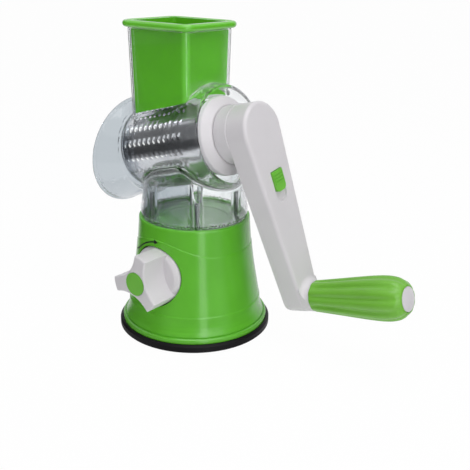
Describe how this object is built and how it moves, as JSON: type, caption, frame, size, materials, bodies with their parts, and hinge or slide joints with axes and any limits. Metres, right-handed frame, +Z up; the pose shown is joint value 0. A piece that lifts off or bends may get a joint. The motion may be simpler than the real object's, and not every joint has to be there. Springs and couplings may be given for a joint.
{
  "type": "rotary drum shredder",
  "caption": "Hand-cranked rotary drum shredder: suction base, clear housing with feed chute and bell outlet, perforated steel drum and cranked arm.",
  "frame": {"origin": "centre of the suction pad's flat underside, on the surface it stands on", "axes": "+Z up, +X towards the crank end, the suction knob is on the -Y side"},
  "size_m": [0.2712, 0.1383, 0.2564],
  "materials": {
    "rubber_black": "satin",
    "green_plastic": "glossy moulded plastic",
    "white_plastic": "satin moulded plastic",
    "clear_plastic": "clear moulded plastic",
    "grey_plastic": "matte",
    "drum_steel": "polished stainless sheet",
    "plain_steel": "zinc plated"
  },
  "bodies": {
    "stand": {"suction_pad": "rubber_black", "base_plate": "grey_plastic", "base_screws": "plain_steel", "base_body": "green_plastic", "housing": "clear_plastic", "housing_screws": "plain_steel"},
    "pusher": {"pusher": "green_plastic"},
    "drum": {"drum_shell": "drum_steel", "drum_front_ring": "drum_steel", "drum_end_cap": "white_plastic", "drive_shaft": "plain_steel"},
    "crank": {"crank_arm": "white_plastic", "crank_cover": "white_plastic", "cover_screws": "plain_steel", "crank_hub": "white_plastic", "grip_pin": "plain_steel", "pin_screw": "plain_steel"},
    "button": {"release_button": "green_plastic", "latch_slider": "grey_plastic"},
    "grip": {"grip": "green_plastic", "grip_cap": "white_plastic"},
    "knob": {"knob": "white_plastic", "knob_cap": "green_plastic", "knob_screw": "plain_steel", "cam_shaft": "grey_plastic"},
    "lift": {"lift_post": "grey_plastic"}
  },
  "joints": [
    {"name": "drum_turn", "type": "hinge", "parent": "stand", "child": "drum", "pos_m": [-0.0062, 0, 0.1599], "axis": [0.9657, 0, 0.2595], "continuous": true},
    {"name": "crank_pull", "type": "slide", "parent": "drum", "child": "crank", "axis": [0.9657, 0, 0.2595], "range_m": [0, 0.03]},
    {"name": "button_press", "type": "slide", "parent": "crank", "child": "button", "axis": [0.2565, 0.1513, -0.9546], "range_m": [0, 0.006], "stiffness_N_per_m": 300, "springref_m": -0.004},
    {"name": "grip_spin", "type": "hinge", "parent": "crank", "child": "grip", "pos_m": [0.11206, 0.02133, 0.04735], "axis": [0.9657, 0, 0.2595], "continuous": true},
    {"name": "pusher_lift", "type": "slide", "parent": "stand", "child": "pusher", "axis": [0, 0, 1], "range_m": [0, 0.085]},
    {"name": "knob_turn", "type": "hinge", "parent": "stand", "child": "knob", "pos_m": [0, -0.05, 0.0569], "axis": [0, 1, 0], "range_deg": [0, 90]},
    {"name": "pad_lift", "type": "slide", "parent": "stand", "child": "lift", "axis": [0, 0, 1], "range_m": [0, 0.003]}
  ],
  "couplings": [
    {"joint": "knob_turn", "follows": "pad_lift", "rad_per_m": 523.59}
  ]
}
